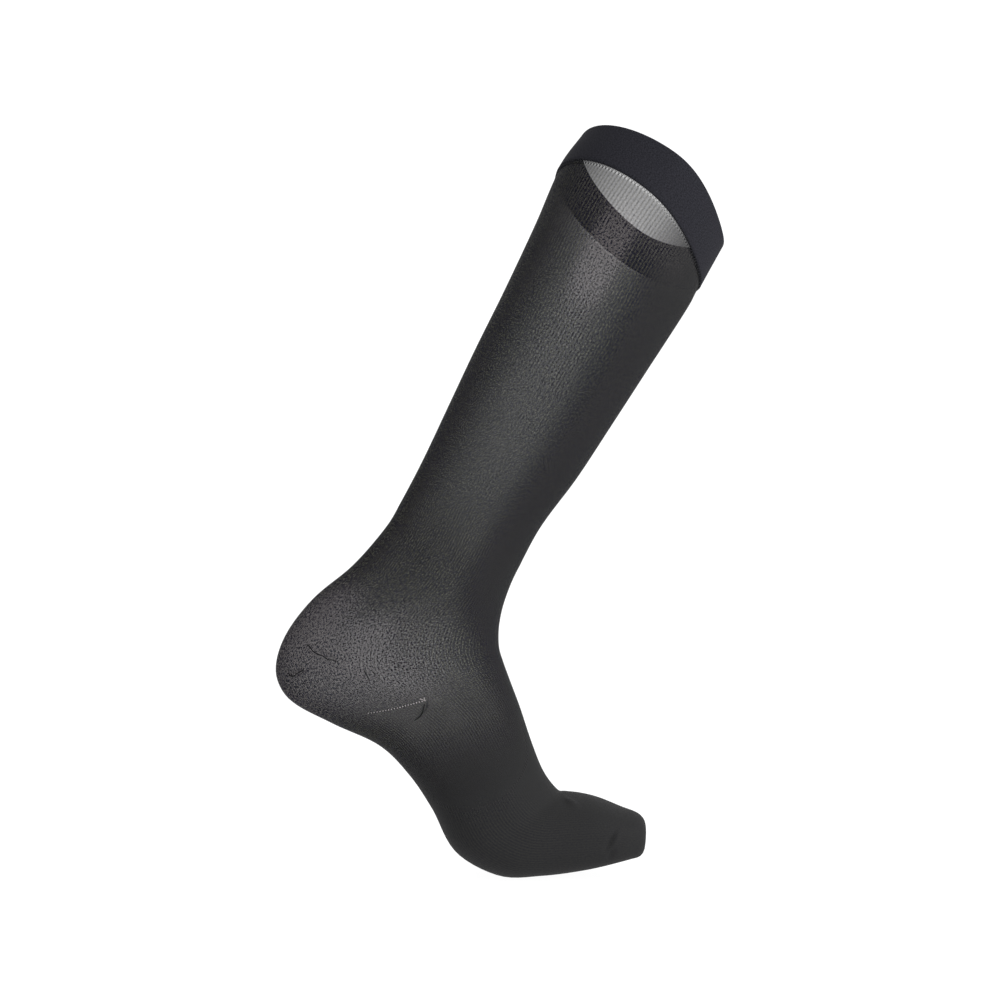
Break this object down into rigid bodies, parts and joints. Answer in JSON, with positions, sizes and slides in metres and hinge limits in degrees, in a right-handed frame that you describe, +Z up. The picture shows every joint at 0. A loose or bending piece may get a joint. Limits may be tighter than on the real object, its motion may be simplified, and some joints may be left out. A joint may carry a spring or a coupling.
{
  "type": "compression stocking",
  "caption": "Knee-high ribbed compression stocking with a doubled top band, shaped heel and closed toe, filled out as worn with the heel raised.",
  "frame": {"origin": "centre of the open top edge, where the leg goes in", "axes": "+Z up, +X towards the toes, +Y towards the outer side of the foot, with the leg leaning towards +X and a little towards +Y"},
  "size_m": [0.2744, 0.1488, 0.4566],
  "materials": {
    "knit": "sheer ribbed nylon knit with a soft sheen",
    "band": "dense doubled knit"
  },
  "bodies": {
    "root": {"top_band": "band", "leg": "knit", "ankle": "knit", "heel_pocket": "knit", "foot": "knit", "toe_cap": "knit"}
  },
  "joints": []
}
